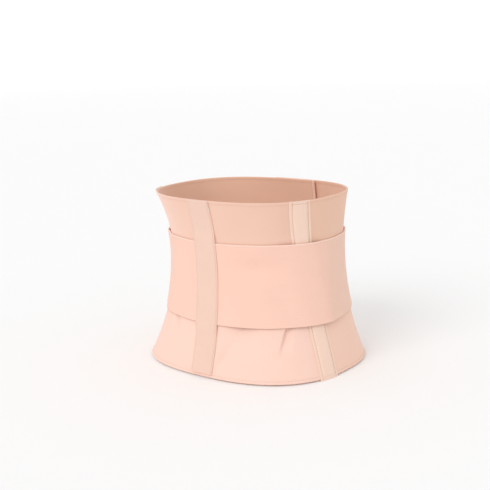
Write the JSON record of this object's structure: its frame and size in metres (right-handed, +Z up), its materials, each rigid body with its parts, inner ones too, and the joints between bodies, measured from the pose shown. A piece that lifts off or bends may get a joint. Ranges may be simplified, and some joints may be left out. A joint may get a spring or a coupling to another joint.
{
  "type": "back brace",
  "caption": "Beige elastic back brace: hourglass wrap belt with stays in back and side casings, a wide outer compression strap and a hook-and-loop front closure.",
  "frame": {"origin": "on the ground under the middle of the bounding box, the brace standing upright and closed as it is worn", "axes": "+Z up, +X towards the wearer's left side, -Y towards the front closure, so the centre-back strip is at +Y"},
  "size_m": [0.3022, 0.2491, 0.2326],
  "materials": {
    "belt_elastic": "matte knitted elastic",
    "strap_elastic": "matte ribbed elastic webbing",
    "casing_fabric": "matte brushed fabric",
    "binding_tape": "matte folded tape",
    "loop_tape": "brushed loop pile",
    "hook_tape": "moulded hooks",
    "stay_steel": "flat spring steel",
    "stay_tip_plastic": "dipped plastic"
  },
  "bodies": {
    "back": {"back_panel_left": "belt_elastic", "back_panel_right": "belt_elastic", "back_top_hem": "belt_elastic", "back_bottom_hem": "belt_elastic", "centre_back_strip": "casing_fabric", "back_stay_left": "stay_steel", "back_stay_right": "stay_steel", "back_stay_tips": "stay_tip_plastic", "side_casing_left": "casing_fabric", "side_casing_right": "casing_fabric", "side_stay_left": "stay_steel", "side_stay_right": "stay_steel", "side_stay_tips": "stay_tip_plastic", "strap_back_left": "strap_elastic", "strap_back_right": "strap_elastic"},
    "right_front": {"front_panel_right": "belt_elastic", "front_top_hem_right": "belt_elastic", "front_bottom_hem_right": "belt_elastic", "front_binding_right": "binding_tape", "front_hook_panel": "hook_tape", "strap_landing_patch": "loop_tape", "strap_side_right": "strap_elastic"},
    "left_front": {"front_panel_left": "belt_elastic", "front_top_hem_left": "belt_elastic", "front_bottom_hem_left": "belt_elastic", "front_binding_left": "binding_tape", "front_loop_panel": "loop_tape", "strap_side_left": "strap_elastic"},
    "right_strap_end": {"strap_end_right": "strap_elastic", "strap_end_binding_right": "strap_elastic", "strap_hook_right": "hook_tape"},
    "left_strap_end": {"strap_end_left": "strap_elastic", "strap_end_binding_left": "strap_elastic", "strap_hook_left": "hook_tape"}
  },
  "joints": [
    {"name": "right_front_open", "type": "hinge", "parent": "back", "child": "right_front", "pos_m": [-0.157, -0.0052, 0.117], "axis": [0, 0, -1], "range_deg": [0, 70]},
    {"name": "left_front_open", "type": "hinge", "parent": "back", "child": "left_front", "pos_m": [0.157, -0.0052, 0.117], "axis": [0, 0, 1], "range_deg": [0, 42]},
    {"name": "right_strap_peel", "type": "hinge", "parent": "right_front", "child": "right_strap_end", "pos_m": [-0.1212, -0.0615, 0.122], "axis": [0, 0, -1], "range_deg": [0, 95]},
    {"name": "left_strap_peel", "type": "hinge", "parent": "left_front", "child": "left_strap_end", "pos_m": [0.1201, -0.0608, 0.122], "axis": [0, 0, 1], "range_deg": [0, 95]}
  ],
  "couplings": [
    {"joint": "left_front_open", "follows": "right_front_open", "ratio": 0.6}
  ]
}
